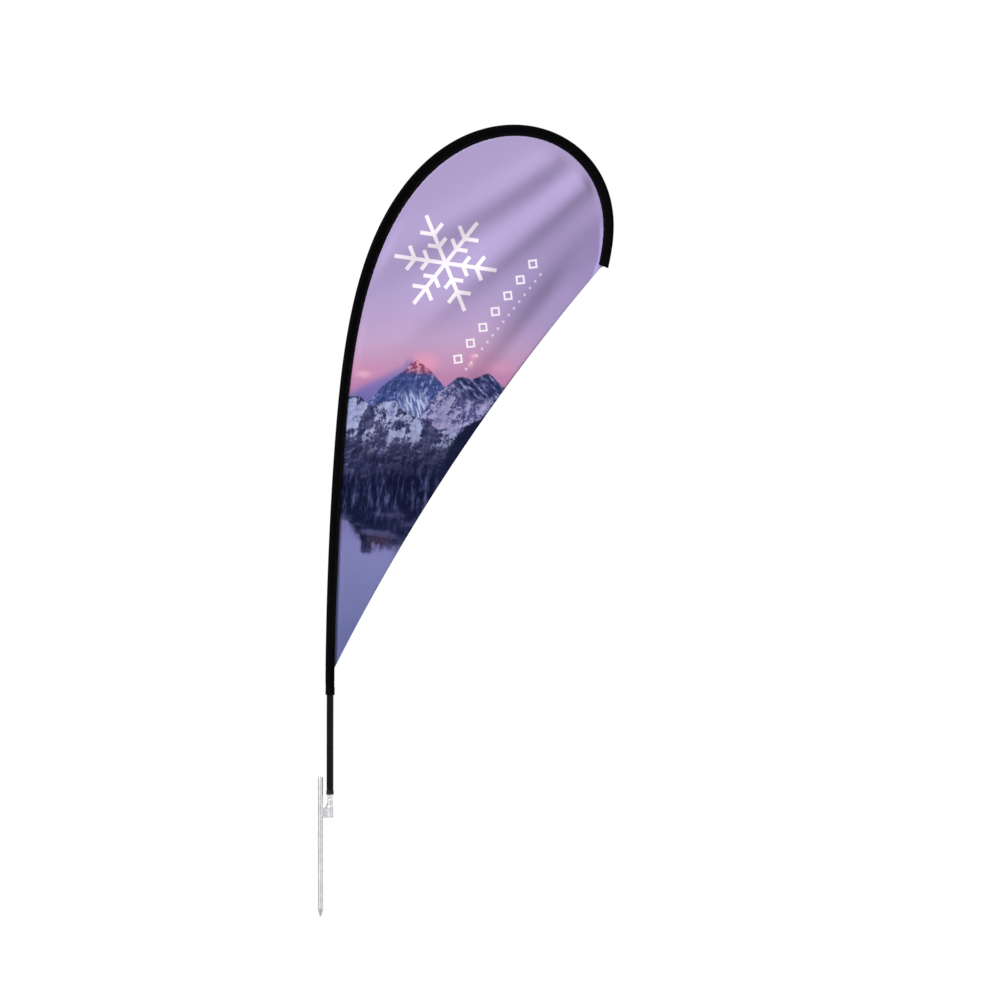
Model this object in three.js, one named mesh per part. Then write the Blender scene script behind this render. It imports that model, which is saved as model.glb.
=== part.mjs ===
import * as THREE from 'three';
import { mergeVertices } from 'three/addons/utils/BufferGeometryUtils.js';

// Teardrop flag on a ground spike. Millimetres, +Z up, the panel in the XZ plane.
// Origin: the spike bar's axis at ground level. The flag flies towards +X.

// ---- driving dimensions ----
const GAP = 0.3;              // between pieces that touch
const SWIVEL_X = 30.4;        // swivel and pole axis, from the bar's axis

const BAR_R = 8;              // ground spike
const BAR_TOP = 131;
const BAR_CHAMFER = 2;
const BAR_POINT_FROM = -293;
const BAR_TIP = -317;

const ARM_HEIGHT = 31.5;       // bracket between the bar and the barrel
const ARM_WIDTH = 11;
const GUSSET_WIDTH = 5;

const HOUSING_R = 10;         // bearing barrel
const HOUSING_NECK_R = 8.5;
const HOUSING_BORE_R = 7;
const HOUSING_TOP = 50;

const JOURNAL_R = 5;          // spindle
const BUSH_BORE_R = 5.1;
const COLLAR_R = 8.5;
const PIN_R = 7.5;
const NECK_R = 8;
const SHOULDER_TOP = 73.3;
const PIN_TOP = 186;

const POLE_FOOT_Z = 73.6;     // start of the pole line
const POLE_LENGTH = 3022;
const LOWER_TOP = 1000;       // section joints, along the pole
const MID_TOP = 2000;
const LOWER_R = 11;
const LOWER_BORE_R = 8;

const SLEEVE_FROM = 319.4;    // cloth sleeve, along the pole
const SLEEVE_WALL = 0.8;
const SLEEVE_FOOT_R = 13.7;
const SLEEVE_SLANT = 0.184;   // of the cut at the tip, per mm across
const PANEL_FROM = 407;
const PANEL_THICKNESS = 0.8;
const FREE_EDGE_SAG = 46;

// bend of the flying pole, in 1/mm at the fraction u of its length; the stiff foot stays
// straight, so the base bend comes in and out once over the first footLength
const BEND = { strength: 0.0323, rise: 5.325, fall: 0.748, base: 0.0000387, footLength: 1250 };

const BLACK = 0x0b0b0c;

// ---- the pole line ----
const STEPS = 3022;
const line = buildLine();

function buildLine() {
  const h = POLE_LENGTH / STEPS;
  const x = [SWIVEL_X];
  const z = [POLE_FOOT_Z];
  const heading = [0];
  for (let i = 0; i < STEPS; i++) {
    const u = (i + 0.5) / STEPS;
    const turn = 2 * Math.PI * u * POLE_LENGTH / BEND.footLength;
    const foot = turn < 2 * Math.PI ? 1 - Math.cos(turn) : 1;
    const bend = BEND.strength * u ** BEND.rise * (1 - u) ** BEND.fall + BEND.base * foot;
    const next = heading[i] + bend * h;
    const mean = (heading[i] + next) / 2;
    x.push(x[i] + Math.sin(mean) * h);
    z.push(z[i] + Math.cos(mean) * h);
    heading.push(next);
  }
  return { x, z, heading };
}

// point, direction and inward normal of the pole line at the distance s
function frameAt(s) {
  const t = Math.min(Math.max(s / POLE_LENGTH, 0), 1) * STEPS;
  const i = Math.min(Math.floor(t), STEPS - 1);
  const f = t - i;
  const mix = (a) => a[i] + (a[i + 1] - a[i]) * f;
  const heading = mix(line.heading);
  const over = s - Math.min(Math.max(s, 0), POLE_LENGTH);
  const sin = Math.sin(heading);
  const cos = Math.cos(heading);
  return { x: mix(line.x) + over * sin, z: mix(line.z) + over * cos, sin, cos };
}

// straight piece (x = inward, y, z = distance along the pole) laid on the pole line
function bendOntoPole(geometry) {
  const p = geometry.attributes.position;
  for (let i = 0; i < p.count; i++) {
    const f = frameAt(p.getZ(i));
    const n = p.getX(i);
    p.setXYZ(i, f.x + n * f.cos, p.getY(i), f.z - n * f.sin);
  }
  return geometry;
}

// distances at which every bent piece has a ring, so that nested walls stay apart
function stations(from, to) {
  const ends = [912, 956, LOWER_TOP, 1082, 1930, 1962, MID_TOP, POLE_LENGTH - 120, POLE_LENGTH - 38];
  const steps = [];
  for (let s = 0; s < 1400; s += 100) steps.push(s);
  for (let s = 1400; s < 2100; s += 50) steps.push(s);
  for (let s = 2100; s < POLE_LENGTH; s += 42) steps.push(s);
  const clear = steps.filter((s) => ends.every((e) => Math.abs(e - s) > 15));
  const all = [...ends, ...clear].sort((a, b) => a - b);
  const inner = all.filter((s) => s > from + 4 && s < to - 4);
  return [from, ...inner, to];
}

// ---- shapes ----
function ease(value, a, b) {
  const t = Math.min(Math.max((value - a) / (b - a), 0), 1);
  return t * t * (3 - 2 * t);
}

function mixed(value, a, b, from, to) {
  return from + (to - from) * Math.min(Math.max((value - a) / (b - a), 0), 1);
}

// closed mesh from rings of points with the same count: a tube wall, or a solid rod
function ringBody(rings, closedOnItself) {
  const count = rings[0].length;
  const positions = rings.flat().flatMap((p) => [p.x, p.y, p.z]);
  const index = [];
  const pairs = closedOnItself ? rings.length : rings.length - 1;
  for (let r = 0; r < pairs; r++) {
    const next = (r + 1) % rings.length;
    for (let i = 0; i < count; i++) {
      const j = (i + 1) % count;
      const a = r * count + i;
      const b = r * count + j;
      const c = next * count + i;
      const d = next * count + j;
      index.push(a, b, d, a, d, c);
    }
  }
  const geometry = new THREE.BufferGeometry();
  geometry.setAttribute('position', new THREE.Float32BufferAttribute(positions, 3));
  geometry.setIndex(index);
  geometry.computeVertexNormals();
  return geometry;
}

// turned piece about the vertical through (x, 0); points are [radius, z], in a ring or axis to axis
function turned(points, segments = 20, x = 0) {
  const profile = points.map(([r, z]) => new THREE.Vector2(r, z));
  const geometry = new THREE.LatheGeometry(profile, segments);
  geometry.rotateX(Math.PI / 2);
  return geometry.translate(x, 0, 0);
}

// tube along the pole between two distances; radii are functions of the distance
function poleTube(from, to, outer, inner, segments = 18) {
  const s = stations(from, to);
  const up = s.map((v) => [outer(v), v]);
  const down = s.map((v) => [inner(v), v]).reverse();
  return bendOntoPole(turned([...up, ...down, up[0]], segments));
}

// section of the cloth sleeve at a distance, drawn in at the foot, hanging to the seam higher up
const ARC_OUT = 13;
const ARC_IN = 9;
function sleeveSize(s) {
  const open = ease(s, SLEEVE_FROM + 24, SLEEVE_FROM + 155);
  const outerOffset = mixed(s / POLE_LENGTH, 0.15, 0.65, 15.5, 9);
  const width = sleeveWidth(s);
  const rise = ease(s, 520, 1650);
  const bigR = Math.min(mixed(s, LOWER_TOP, 1970, 12.6, 9), outerOffset);
  const smallR = mixed(rise, 0, 1, 12.5, 1.6);
  return {
    bigR: SLEEVE_FOOT_R + (bigR - SLEEVE_FOOT_R) * open,
    smallR: SLEEVE_FOOT_R + (smallR - SLEEVE_FOOT_R) * open,
    bigAt: (bigR - outerOffset) * open,
    smallAt: (width - outerOffset - smallR) * open,
  };
}

function sleeveWidth(s) {
  const u = s / POLE_LENGTH;
  const grown = 31.5 + 7 * ease(u, 0.4, 0.66);
  return grown - 3.5 * ease(u, 0.7, 0.86) - 2.5 * ease(u, 0.9, 1);
}

function seamAt(s) {
  const size = sleeveSize(s);
  return size.smallAt + size.smallR;
}

function sleeveRing(s, inset) {
  const size = sleeveSize(s);
  const R = size.bigR - inset;
  const r = size.smallR - inset;
  const reach = size.smallAt - size.bigAt;
  const turn = reach > 0.01 ? Math.acos(Math.min((R - r) / reach, 1)) : Math.PI / 2;
  const ring = [];
  for (let i = 0; i < ARC_IN; i++) {
    const a = -turn + (2 * turn * i) / (ARC_IN - 1);
    ring.push(new THREE.Vector3(size.smallAt + r * Math.cos(a), r * Math.sin(a), s));
  }
  for (let i = 0; i < ARC_OUT; i++) {
    const a = turn + ((2 * Math.PI - 2 * turn) * i) / (ARC_OUT - 1);
    ring.push(new THREE.Vector3(size.bigAt + R * Math.cos(a), R * Math.sin(a), s));
  }
  return ring;
}

// the sleeve's end at the tip is cut on a slant, longer on its outer side
function slantedEnd(n) {
  return POLE_LENGTH - 1 - SLEEVE_SLANT * n;
}

function sleeveGeometry() {
  const foot = [SLEEVE_FROM, SLEEVE_FROM + 24, SLEEVE_FROM + 52, SLEEVE_FROM + 88, SLEEVE_FROM + 120];
  const s = [...foot, ...stations(SLEEVE_FROM + 155, POLE_LENGTH)];
  const outside = s.map((v) => sleeveRing(v, 0));
  const inside = s.map((v) => sleeveRing(v, SLEEVE_WALL)).reverse();
  for (const p of [...outside[s.length - 1], ...inside[0]]) p.z = slantedEnd(p.x);
  return bendOntoPole(ringBody([...outside, ...inside], true));
}

// outline of the printed panel: the sleeve's seam, then the concave free edge
function panelGeometry() {
  const point = (s, n) => {
    const f = frameAt(s);
    return new THREE.Vector2(f.x + n * f.cos, f.z - n * f.sin);
  };
  const seamEnd = seamAt(POLE_LENGTH) + GAP;
  const seam = stations(PANEL_FROM, slantedEnd(seamEnd) + GAP).map((s) => point(s, seamAt(s) + GAP));
  const tuck = [point(slantedEnd(5) + GAP + 0.1, 5), point(POLE_LENGTH - 0.2, 8.5)];
  const tip = point(POLE_LENGTH + 6, 16.5);
  const foot = seam[0];
  const chord = new THREE.Vector2().subVectors(foot, tip);
  const towardsPole = new THREE.Vector2(chord.y, -chord.x).normalize();
  const outline = [...seam, ...tuck, tip];
  const pieces = 28;
  for (let i = 1; i < pieces; i++) {
    const t = i / pieces;
    const sag = FREE_EDGE_SAG * 4 * t * (1 - t);
    outline.push(tip.clone().addScaledVector(chord, t).addScaledVector(towardsPole, sag));
  }
  const shape = new THREE.Shape(outline);
  const geometry = new THREE.ExtrudeGeometry(shape, { depth: PANEL_THICKNESS, bevelEnabled: false });
  geometry.translate(0, 0, -PANEL_THICKNESS / 2);
  return geometry.rotateX(Math.PI / 2);
}

// plate standing along Z whose two ends are hollowed round the bar and the barrel
function armGeometry() {
  const half = ARM_WIDTH / 2;
  const leftR = BAR_R + GAP;
  const rightR = HOUSING_R + GAP;
  const left = Math.asin(half / leftR);
  const right = Math.asin(half / rightR);
  const shape = new THREE.Shape();
  shape.absarc(0, 0, leftR, -left, left, false);
  shape.absarc(SWIVEL_X, 0, rightR, Math.PI - right, Math.PI + right, false);
  shape.closePath();
  return new THREE.ExtrudeGeometry(shape, { depth: ARM_HEIGHT, bevelEnabled: false, curveSegments: 6 });
}

function gussetGeometry() {
  const x = SWIVEL_X - HOUSING_NECK_R - GAP;
  const low = SWIVEL_X - HOUSING_R - GAP;
  const base = ARM_HEIGHT + GAP;
  const shape = new THREE.Shape();
  shape.moveTo(SWIVEL_X - 17.8, base);
  shape.lineTo(low, base);
  shape.lineTo(low, 34.2);
  shape.lineTo(x, 38.2);
  shape.lineTo(x, HOUSING_TOP - 0.5);
  shape.lineTo(x - 1.2, HOUSING_TOP - 0.5);
  shape.quadraticCurveTo(x - 2.4, 41, SWIVEL_X - 17.8, 35.5);
  shape.closePath();
  const geometry = new THREE.ExtrudeGeometry(shape, {
    depth: GUSSET_WIDTH, bevelEnabled: false, curveSegments: 6,
  });
  geometry.translate(0, 0, -GUSSET_WIDTH / 2);
  return geometry.rotateX(Math.PI / 2);
}

// open ring with a mouth, lying in the spindle's groove
function circlipGeometry() {
  const mouth = 0.45;
  const shape = new THREE.Shape();
  shape.absarc(0, 0, 6.3, mouth, 2 * Math.PI - mouth, false);
  shape.absarc(0, 0, 4.4, 2 * Math.PI - mouth * 1.3, mouth * 1.3, true);
  shape.closePath();
  const geometry = new THREE.ExtrudeGeometry(shape, { depth: 0.9, bevelEnabled: false, curveSegments: 9 });
  return geometry.translate(SWIVEL_X, 0, 1.75);
}

function oRing(z) {
  const geometry = new THREE.TorusGeometry(7.0, 0.75, 8, 20);
  return geometry.translate(SWIVEL_X, 0, z);
}

// ---- the pieces ----
const group = new THREE.Group();
group.name = 'teardrop_flag';

function add(name, geometry, color, roughness, metalness = 0) {
  let clean = geometry;
  clean.deleteAttribute('uv');
  clean.deleteAttribute('normal');
  clean = mergeVertices(clean, 1e-4);
  clean.computeVertexNormals();
  const material = new THREE.MeshStandardMaterial({ color, roughness, metalness });
  const mesh = new THREE.Mesh(clean, material);
  mesh.name = name;
  group.add(mesh);
}

const swivel = (points, segments = 20) => turned(points, segments, SWIVEL_X);

// ground spike and bearing housing
add('spike_stake', turned([
  [0, BAR_TIP], [1.6, BAR_TIP + 0.8], [3.2, BAR_TIP + 4], [BAR_R, BAR_POINT_FROM],
  [BAR_R, BAR_TOP - BAR_CHAMFER], [BAR_R - BAR_CHAMFER, BAR_TOP], [0, BAR_TOP],
]), 0xc9cbce, 0.32, 1);
add('bracket_arm', armGeometry(), 0xc2c4c7, 0.4, 1);
add('gusset', gussetGeometry(), 0xa6a8ab, 0.45, 1);
add('bearing_housing', swivel([
  [HOUSING_BORE_R, 0], [HOUSING_R - 0.8, 0], [HOUSING_R, 0.8], [HOUSING_R, 34],
  [HOUSING_NECK_R, 38], [HOUSING_NECK_R, HOUSING_TOP], [HOUSING_BORE_R, HOUSING_TOP],
  [HOUSING_BORE_R, 0],
]), 0xd2d4d6, 0.28, 1);
add('upper_bush', swivel([
  [BUSH_BORE_R, 30], [6.7, 30], [6.7, HOUSING_TOP + GAP], [HOUSING_NECK_R, HOUSING_TOP + GAP],
  [HOUSING_NECK_R, 51.9], [BUSH_BORE_R, 51.9], [BUSH_BORE_R, 30],
]), 0xe6e4dc, 0.5);
add('lower_bush', swivel([
  [BUSH_BORE_R, 4.4], [6.7, 4.4], [6.7, 20], [BUSH_BORE_R, 20], [BUSH_BORE_R, 4.4],
]), 0xe6e4dc, 0.5);

// spindle
add('spindle', swivel([
  [0, 0.6], [JOURNAL_R - 0.6, 0.6], [JOURNAL_R, 1.2], [JOURNAL_R, 1.5], [4.1, 1.5], [4.1, 2.9],
  [JOURNAL_R, 2.9], [JOURNAL_R, 52.2], [COLLAR_R, 52.2], [COLLAR_R, 55.4], [NECK_R, 56.2],
  [NECK_R, 64], [8.7, 64.6], [8.7, 66.6], [NECK_R, 67.2], [NECK_R, 69.8], [9.6, 70.6],
  [9.6, SHOULDER_TOP], [PIN_R, SHOULDER_TOP], [PIN_R, 100], [6, 100], [6, 102.4],
  [PIN_R, 102.4], [PIN_R, 158], [6, 158], [6, 160.4], [PIN_R, 160.4], [PIN_R, PIN_TOP - 4],
  [5, PIN_TOP], [0, PIN_TOP],
]), 0xd0d2d4, 0.25, 1);
add('retaining_washer', swivel([
  [5.3, 3.0], [6.6, 3.0], [6.6, 4.1], [5.3, 4.1], [5.3, 3.0],
]), 0xbdbfc2, 0.4, 1);
add('circlip', circlipGeometry(), 0x6c6e72, 0.4, 1);
add('o_ring_lower', oRing(101.2), BLACK, 0.7);
add('o_ring_upper', oRing(159.2), BLACK, 0.7);

// pole
const lowerR = (s) => mixed(s, 340, LOWER_TOP, LOWER_R, 10);
const midR = (s) => mixed(s, LOWER_TOP, MID_TOP, 9.5, 6.5);
const midBoreR = (s) => mixed(s, LOWER_TOP, MID_TOP, 7.8, 4.8);
const tipR = (s) => mixed(s, MID_TOP, POLE_LENGTH, 4.4, 3);

add('pole_foot_cap', swivel([
  [8.1, POLE_FOOT_Z], [11.7, POLE_FOOT_Z], [12.3, POLE_FOOT_Z + 1], [12.3, 85], [11.3, 86.4],
  [11.3, 75.6], [8.1, 75.6], [8.1, POLE_FOOT_Z],
]), BLACK, 0.5);
add('lower_pole', poleTube(2.4, LOWER_TOP, lowerR, () => LOWER_BORE_R), BLACK, 0.35);
add('lower_ferrule', poleTube(956, LOWER_TOP, () => 11, () => 10.4), 0x2a2b2d, 0.35, 1);
add('joint_spigot', poleTube(912, 1082, () => 7.2, () => 5.4, 14), 0xb9bbbe, 0.4, 1);
add('mid_pole', poleTube(LOWER_TOP + 0.5, MID_TOP, midR, midBoreR, 14), BLACK, 0.35);
add('mid_ferrule', poleTube(1962, MID_TOP, () => 7.5, () => 6.95, 14), 0x2a2b2d, 0.35, 1);
const rodEnd = POLE_LENGTH - 14;
const rod = stations(1930, rodEnd).map((s) => [tipR(s), s]);
add('tip_pole', bendOntoPole(turned([[0, 1930], ...rod, [0, rodEnd]], 12)), BLACK, 0.35);
const capEnd = POLE_LENGTH - 9;
add('tip_cap', bendOntoPole(turned([
  [3.35, capEnd - 32], [4.7, capEnd - 32], [4.9, capEnd - 4], [3.4, capEnd], [0, capEnd],
  [0, rodEnd + GAP], [3.35, rodEnd + GAP], [3.35, capEnd - 32],
], 14)), 0x161617, 0.8);

// cloth
add('grip_band', poleTube(323, 349, () => 12.4, () => LOWER_R + GAP), 0x121213, 0.95);
add('pole_sleeve', sleeveGeometry(), BLACK, 0.85);
add('sleeve_cuff', bendOntoPole(turned([
  [12.8, 318.2], [14.9, 318.2], [14.9, 343], [14.05, 343], [14.05, 319.05], [12.8, 319.05],
  [12.8, 318.2],
], 18)), BLACK, 0.85);
const pouchEnd = POLE_LENGTH - 6;
const pouch = stations(POLE_LENGTH - 120, pouchEnd);
add('tip_pocket', bendOntoPole(turned([
  ...pouch.map((s) => [7.2, s]), [0, pouchEnd], [0, pouchEnd - 1],
  ...pouch.map((s) => [6.4, Math.min(s, pouchEnd - 1)]).reverse(), [7.2, pouch[0]],
], 14)), 0x0e0e0f, 0.9);
add('flag_panel', panelGeometry(), 0xa79ac6, 0.8);

export default group;
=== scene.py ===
"""Looks of the teardrop flag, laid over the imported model. Metres, +Z up, the panel in the XZ plane."""

import math

import bmesh
import bpy
import numpy as np
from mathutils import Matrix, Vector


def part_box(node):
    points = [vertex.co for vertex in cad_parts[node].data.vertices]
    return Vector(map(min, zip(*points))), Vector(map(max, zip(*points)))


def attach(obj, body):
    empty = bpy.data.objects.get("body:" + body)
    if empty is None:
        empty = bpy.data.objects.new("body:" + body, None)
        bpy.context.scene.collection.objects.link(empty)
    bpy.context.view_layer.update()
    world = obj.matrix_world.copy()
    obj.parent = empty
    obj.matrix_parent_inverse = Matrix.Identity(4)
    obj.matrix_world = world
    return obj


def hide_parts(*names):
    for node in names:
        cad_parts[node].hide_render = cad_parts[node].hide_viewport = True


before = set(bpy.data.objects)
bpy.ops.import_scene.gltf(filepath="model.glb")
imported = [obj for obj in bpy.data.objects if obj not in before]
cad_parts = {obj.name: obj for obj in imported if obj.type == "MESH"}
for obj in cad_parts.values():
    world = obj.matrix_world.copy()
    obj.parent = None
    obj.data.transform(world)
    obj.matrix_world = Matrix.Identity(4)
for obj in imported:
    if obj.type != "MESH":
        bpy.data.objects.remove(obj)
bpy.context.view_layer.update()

# ---- driving dimensions ----
MM = 0.001
SWIVEL_X = sum(p[0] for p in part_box("bearing_housing")) / 2
POLE_FOOT_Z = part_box("pole_foot_cap")[0][2]

POLE_LENGTH = 3.022
BEND_STRENGTH, BEND_RISE, BEND_FALL, BEND_BASE = 32.3, 5.325, 0.748, 0.0387  # 1/m
BEND_FOOT_LENGTH = 1.250
LOWER_TOP = 1.000

SLEEVE_FROM = 0.3194
SLEEVE_FOOT_R = 13.7 * MM
SLEEVE_SLANT = 0.184
PANEL_FROM = 0.407
FREE_EDGE_SAG = 0.046
HEM_WIDTH = 0.014

GROUND_BODY, SWIVEL_BODY, FLAG_BODY = "ground_stake", "swivel", "flag"


# ---- small maths ----
def ease(value, start, end):
    t = np.clip((value - start) / (end - start), 0, 1)
    return t * t * (3 - 2 * t)


def mixed(value, start, end, low, high):
    return low + (high - low) * np.clip((value - start) / (end - start), 0, 1)


def srgb(r, g, b):
    """Linear colour of a display colour given from 0 to 255."""
    def one(c):
        c /= 255
        return c / 12.92 if c <= 0.04045 else ((c + 0.055) / 1.055) ** 2.4
    return (one(r), one(g), one(b), 1.0)


# ---- the pole line ----
class PoleLine:
    STEPS = 3022

    def __init__(self):
        h = POLE_LENGTH / self.STEPS
        u = (np.arange(self.STEPS) + 0.5) / self.STEPS
        turn = 2 * math.pi * u * POLE_LENGTH / BEND_FOOT_LENGTH
        foot = np.where(turn < 2 * math.pi, 1 - np.cos(turn), 1)
        bend = BEND_STRENGTH * u**BEND_RISE * (1 - u) ** BEND_FALL + BEND_BASE * foot
        self.heading = np.concatenate([[0], np.cumsum(bend * h)])
        mean = (self.heading[1:] + self.heading[:-1]) / 2
        self.x = SWIVEL_X + np.concatenate([[0], np.cumsum(np.sin(mean) * h)])
        self.z = POLE_FOOT_Z + np.concatenate([[0], np.cumsum(np.cos(mean) * h)])
        self.s = np.linspace(0, POLE_LENGTH, self.STEPS + 1)

    def place(self, s, n, y):
        """Point at the distance s along the pole, n inwards and y across it."""
        s, n, y = np.broadcast_arrays(*(np.asarray(a, float) for a in (s, n, y)))
        heading = np.interp(s, self.s, self.heading)
        over = s - np.clip(s, 0, POLE_LENGTH)
        x = np.interp(s, self.s, self.x) + over * np.sin(heading)
        z = np.interp(s, self.s, self.z) + over * np.cos(heading)
        return np.stack([x + n * np.cos(heading), y, z - n * np.sin(heading)], axis=-1)


POLE = PoleLine()


# ---- section of the cloth sleeve ----
def sleeve_width(s):
    """The sleeve's width seen from the front: it widens above its foot, then narrows round the bend."""
    u = s / POLE_LENGTH
    grown = 29.7 + 1.8 * ease(s, 0.52, 0.78) + 7 * ease(u, 0.4, 0.66)
    return (grown - 3.5 * ease(u, 0.7, 0.86) - 2.5 * ease(u, 0.9, 1)) * MM


def sleeve_size(s):
    """Radii and places of the round back and the seam edge whose hull is the sleeve's section."""
    opened = ease(s, SLEEVE_FROM + 0.024, SLEEVE_FROM + 0.155)
    back_opened = ease(s, SLEEVE_FROM, SLEEVE_FROM + 0.050)
    outer = mixed(s / POLE_LENGTH, 0.15, 0.65, 15.5, 9) * MM
    back_r = np.minimum(mixed(s, LOWER_TOP, 1.97, 12.6, 9) * MM, outer)
    seam_r = mixed(ease(s, 0.52, 1.65), 0, 1, 12.5, 1.6) * MM
    return (
        SLEEVE_FOOT_R + (back_r - SLEEVE_FOOT_R) * opened,
        -(outer - SLEEVE_FOOT_R) * back_opened - (SLEEVE_FOOT_R - back_r) * opened,
        SLEEVE_FOOT_R + (seam_r - SLEEVE_FOOT_R) * opened,
        (sleeve_width(s) - outer - seam_r) * opened,
    )


def seam_at(s):
    """The distance of the sleeve's seam edge inwards from the pole's axis."""
    _, _, seam_r, seam_x = sleeve_size(s)
    return seam_x + seam_r


def sleeve_half(s, n):
    """Half of the sleeve's thickness at the distance n inwards from the pole's axis."""
    back_r, back_x, seam_r, seam_x = sleeve_size(s)
    reach = np.maximum(seam_x - back_x, 1e-6)
    lean = np.clip((back_r - seam_r) / reach, -1, 1)
    up = np.sqrt(1 - lean**2)
    from_x, to_x = back_x + back_r * lean, seam_x + seam_r * lean
    line = back_r * up + (n - from_x) * (seam_r - back_r) * up / np.maximum(to_x - from_x, 1e-6)
    round_back = np.sqrt(np.maximum(back_r**2 - (n - back_x) ** 2, 0))
    round_seam = np.sqrt(np.maximum(seam_r**2 - (n - seam_x) ** 2, 0))
    return np.where(n < from_x, round_back, np.where(n > to_x, round_seam, line))


def slanted_end(n):
    """Where the sleeve's cut end is along the pole, at the distance n inwards."""
    return POLE_LENGTH - 0.001 - SLEEVE_SLANT * n


# ---- the panel: from the seam (v = 0) to the concave free edge (v = 1), foot (t = 0) to tip (t = 1) ----
PANEL_TUCK = 2 * MM      # how far the panel's edge goes into the sleeve's seam
TIP_TUCK_N = 8.6 * MM    # and how far inwards it ends at the tip, and over what length it turns in there
TIP_TURN_IN = 0.018
FREE_TIP = POLE.place(POLE_LENGTH + 0.006, 0.0165, 0)
FREE_FOOT = POLE.place(PANEL_FROM, seam_at(PANEL_FROM) + 0.3 * MM, 0)
CLOTH_THICKNESS, HEM_THICKNESS, SLEEVE_THICKNESS = 0.4 * MM, 0.35 * MM, 0.7 * MM
SEWN_REACH = 0.050       # from the seam to where the folds have their full height
EDGE_SLACK, EDGE_REACH = 0.85, 0.12     # the folds' share of their height at the free edge
PUCKER_HEIGHT, PUCKER_PITCH, PUCKER_REACH = 0.35 * MM, 0.021, 0.014

# Soft folds run from the sleeve's shoulder down towards the free edge. Each has the x and z of its
# two ends, how far its middle bows to the lower right, its half width and its height to the front.
RIDGES = (
    (0.800, 2.150, 0.130, 1.745, 0.020, 0.034, 0.0110),
    (0.835, 2.086, 0.160, 1.680, 0.022, 0.038, -0.0120),
    (0.900, 2.082, 0.200, 1.470, 0.000, 0.034, 0.0095),
    (0.900, 2.060, 0.420, 1.620, 0.000, 0.130, 0.0080),
    (0.930, 1.960, 0.500, 1.560, 0.000, 0.026, 0.0030),
    (0.780, 1.730, 0.500, 1.400, 0.004, 0.030, -0.0035),
)
# A drop is a fold that doesn't come back: the cloth beyond it stays lower by its height.
DROPS = (
    (0.960, 2.094, 0.300, 1.534, 0.004, 0.022, 0.0085),
    (0.795, 1.785, 0.300, 1.166, 0.004, 0.026, 0.0125),
    (0.960, 1.900, 0.400, 1.150, 0.000, 0.110, 0.0100),
)


def beside_line(x, z, x0, z0, x1, z1, bow):
    """How far a point is beyond a fold's line, where along it, and how strong the fold is there, 0 to 1."""
    length = math.hypot(x1 - x0, z1 - z0)
    dx, dz = (x1 - x0) / length, (z1 - z0) / length
    along = ((x - x0) * dx + (z - z0) * dz) / length
    across = (x - x0) * -dz + (z - z0) * dx
    strength = ease(along, -0.12, 0.16) * (1 - ease(along, 0.55, 1.15))
    return across - bow * 4 * along * (1 - along), along, strength


def fold_height(x, z):
    """How far the folds bring the cloth to the front."""
    total = np.zeros_like(x)
    for *line, width, height in RIDGES:
        off, along, strength = beside_line(x, z, *line)
        spread = width * (0.8 + 0.5 * np.clip(along, 0, 1))
        total += height * strength * np.exp(-0.5 * (off / spread) ** 2)
    for *line, width, height in DROPS:
        off, _, strength = beside_line(x, z, *line)
        total -= height * strength * (0.5 + 0.5 * np.tanh(off / width))
    return total


def billow(x, z):
    """The slow swell of the whole panel and the faint waves of its lower half."""
    swell = 0.0045 * np.sin(2.1 * (z - 0.5)) * np.sin(3.2 * x)
    waves = 0.0011 * np.sin(26 * (x * 0.55 + z * 0.45) + 1.5 * np.sin(5 * z))
    return swell + waves * (1 - ease(z, 1.2, 1.7))


def panel_points(t, v):
    t, v = np.broadcast_arrays(np.asarray(t, float), np.asarray(v, float))
    last = slanted_end(TIP_TUCK_N) + 0.6 * MM
    s = PANEL_FROM + (last - PANEL_FROM) * t
    turn_in = ease(s, last - TIP_TURN_IN, last)
    n = (seam_at(s) - PANEL_TUCK) * (1 - turn_in) + TIP_TUCK_N * turn_in
    seam = POLE.place(s, n, 0)
    chord = FREE_FOOT - FREE_TIP
    to_pole = np.array([chord[2], 0, -chord[0]]) / np.hypot(chord[0], chord[2])
    back = (1 - t)[..., None]
    free = FREE_TIP + chord * back + to_pole * FREE_EDGE_SAG * 4 * back * (1 - back)
    p = seam + (free - seam) * v[..., None]
    span = np.linalg.norm(free - seam, axis=-1)
    from_seam, from_edge = span * v, span * (1 - v)
    x, z = p[..., 0], p[..., 2]
    sewn = ease(from_seam, PANEL_TUCK, SEWN_REACH) * ease(1 - t, 0, 0.03)
    slack = EDGE_SLACK + (1 - EDGE_SLACK) * ease(from_edge, 0, EDGE_REACH)
    pucker = np.sin(s * 2 * math.pi / PUCKER_PITCH + 2 * np.sin(s * 40)) * np.exp(-from_seam / PUCKER_REACH)
    pucker = pucker * PUCKER_HEIGHT * ease(from_seam, PANEL_TUCK, 3 * PANEL_TUCK)
    p[..., 1] = pucker - (fold_height(x, z) + billow(x, z)) * sewn * slack
    return p


def panel_v_at(t, inset):
    """The v of a line that runs a given distance inside the free edge."""
    ends = panel_points(t, np.zeros_like(t)), panel_points(t, np.ones_like(t))
    return 1 - inset / np.maximum(np.linalg.norm(ends[1] - ends[0], axis=-1), inset)


# ---- mesh helpers ----
def placed(name, data):
    """A new object in the scene, made of a mesh, a light or a camera."""
    made = bpy.data.objects.new(name, data)
    bpy.context.scene.collection.objects.link(made)
    return made


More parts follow.
